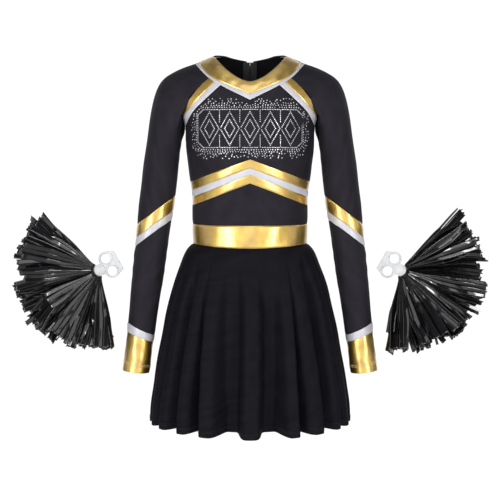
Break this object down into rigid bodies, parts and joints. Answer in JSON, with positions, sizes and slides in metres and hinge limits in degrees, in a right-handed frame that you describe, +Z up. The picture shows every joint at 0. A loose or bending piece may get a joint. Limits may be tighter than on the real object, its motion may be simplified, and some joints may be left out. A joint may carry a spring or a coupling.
{
  "type": "cheer uniform",
  "caption": "Child's long-sleeved cheer dress in black knit with metallic stripes, a back zip, bending sleeves and a pair of finger-held pom-poms.",
  "frame": {"origin": "middle of the shoulders at the height of the back neck, on the shoulder line", "axes": "+Z up, -Y towards the wearer's front, +X towards the wearer's left"},
  "size_m": [0.8264, 0.2646, 0.6306],
  "materials": {
    "knit_black": "matt stretch knit",
    "foil_gold": "metallic foil on knit",
    "trim_silver": "pale metallic trim",
    "zip_nylon": "woven tape and nylon coil",
    "zip_metal": "satin",
    "rhinestone": "foil-backed cut stones",
    "pom_film": "metallic film",
    "pom_clear": "translucent"
  },
  "bodies": {
    "dress": {"front_chest_panel": "knit_black", "front_midriff_panel": "knit_black", "back_panel_left": "knit_black", "back_panel_right": "knit_black", "chevron_gold_upper": "foil_gold", "chevron_silver": "trim_silver", "chevron_gold_lower": "foil_gold", "neck_band_gold": "foil_gold", "neck_trim_silver": "trim_silver", "back_neck_binding": "knit_black", "raglan_gold_left": "foil_gold", "raglan_silver_left": "trim_silver", "raglan_gold_right": "foil_gold", "raglan_silver_right": "trim_silver", "sleeve_head_left": "knit_black", "sleeve_head_right": "knit_black", "waistband": "foil_gold", "waist_elastic": "knit_black", "skirt": "knit_black", "skirt_hem": "knit_black", "zip_tape_left": "zip_nylon", "zip_tape_right": "zip_nylon", "zip_coil_left": "zip_nylon", "zip_coil_right": "zip_nylon", "zip_top_stops": "zip_metal", "zip_bottom_stop": "zip_metal", "rhinestone_motif": "rhinestone", "rhinestone_scatter": "rhinestone"},
    "upper_sleeve_left": {"sleeve_upper_left": "knit_black", "sleeve_gold_left": "foil_gold", "sleeve_silver_left": "trim_silver", "sleeve_elbow_left": "knit_black"},
    "lower_sleeve_left": {"sleeve_lower_left": "knit_black", "cuff_silver_left": "trim_silver", "cuff_gold_left": "foil_gold"},
    "pom_pom_left": {"pom_handle_left": "pom_clear", "pom_hub_caps_left": "pom_clear", "pom_tie_left": "pom_film", "pom_streamers_front_left": "pom_film", "pom_streamers_middle_left": "pom_film", "pom_streamers_back_left": "pom_film"},
    "upper_sleeve_right": {"sleeve_upper_right": "knit_black", "sleeve_gold_right": "foil_gold", "sleeve_silver_right": "trim_silver", "sleeve_elbow_right": "knit_black"},
    "lower_sleeve_right": {"sleeve_lower_right": "knit_black", "cuff_silver_right": "trim_silver", "cuff_gold_right": "foil_gold"},
    "pom_pom_right": {"pom_handle_right": "pom_clear", "pom_hub_caps_right": "pom_clear", "pom_tie_right": "pom_film", "pom_streamers_front_right": "pom_film", "pom_streamers_middle_right": "pom_film", "pom_streamers_back_right": "pom_film"},
    "zip_slider": {"zip_slider": "zip_metal"},
    "zip_pull": {"zip_pull": "zip_metal"}
  },
  "joints": [
    {"name": "shoulder_left", "type": "hinge", "parent": "dress", "child": "upper_sleeve_left", "pos_m": [0.138, 0, -0.112], "axis": [0, -1, 0], "range_deg": [0, 60], "deforming": ["sleeve_head_left"]},
    {"name": "elbow_left", "type": "hinge", "parent": "upper_sleeve_left", "child": "lower_sleeve_left", "pos_m": [0.171, 0, -0.34], "axis": [-1, 0, 0], "range_deg": [0, 80], "deforming": ["sleeve_elbow_left"]},
    {"name": "pom_slide_left", "type": "slide", "parent": "lower_sleeve_left", "child": "pom_pom_left", "axis": [1, 0, 0], "range_m": [0, 0.12]},
    {"name": "shoulder_right", "type": "hinge", "parent": "dress", "child": "upper_sleeve_right", "pos_m": [-0.138, 0, -0.112], "axis": [0, 1, 0], "range_deg": [0, 60], "deforming": ["sleeve_head_right"]},
    {"name": "elbow_right", "type": "hinge", "parent": "upper_sleeve_right", "child": "lower_sleeve_right", "pos_m": [-0.171, 0, -0.34], "axis": [-1, 0, 0], "range_deg": [0, 80], "deforming": ["sleeve_elbow_right"]},
    {"name": "pom_slide_right", "type": "slide", "parent": "lower_sleeve_right", "child": "pom_pom_right", "axis": [-1, 0, 0], "range_m": [0, 0.12]},
    {"name": "zip_slide", "type": "slide", "parent": "dress", "child": "zip_slider", "axis": [0, 0.0698, -0.9976], "range_m": [0, 0.283]},
    {"name": "zip_pull_lift", "type": "hinge", "parent": "zip_slider", "child": "zip_pull", "pos_m": [0, 0.05962, -0.00877], "axis": [1, 0, 0], "range_deg": [0, 160]}
  ]
}
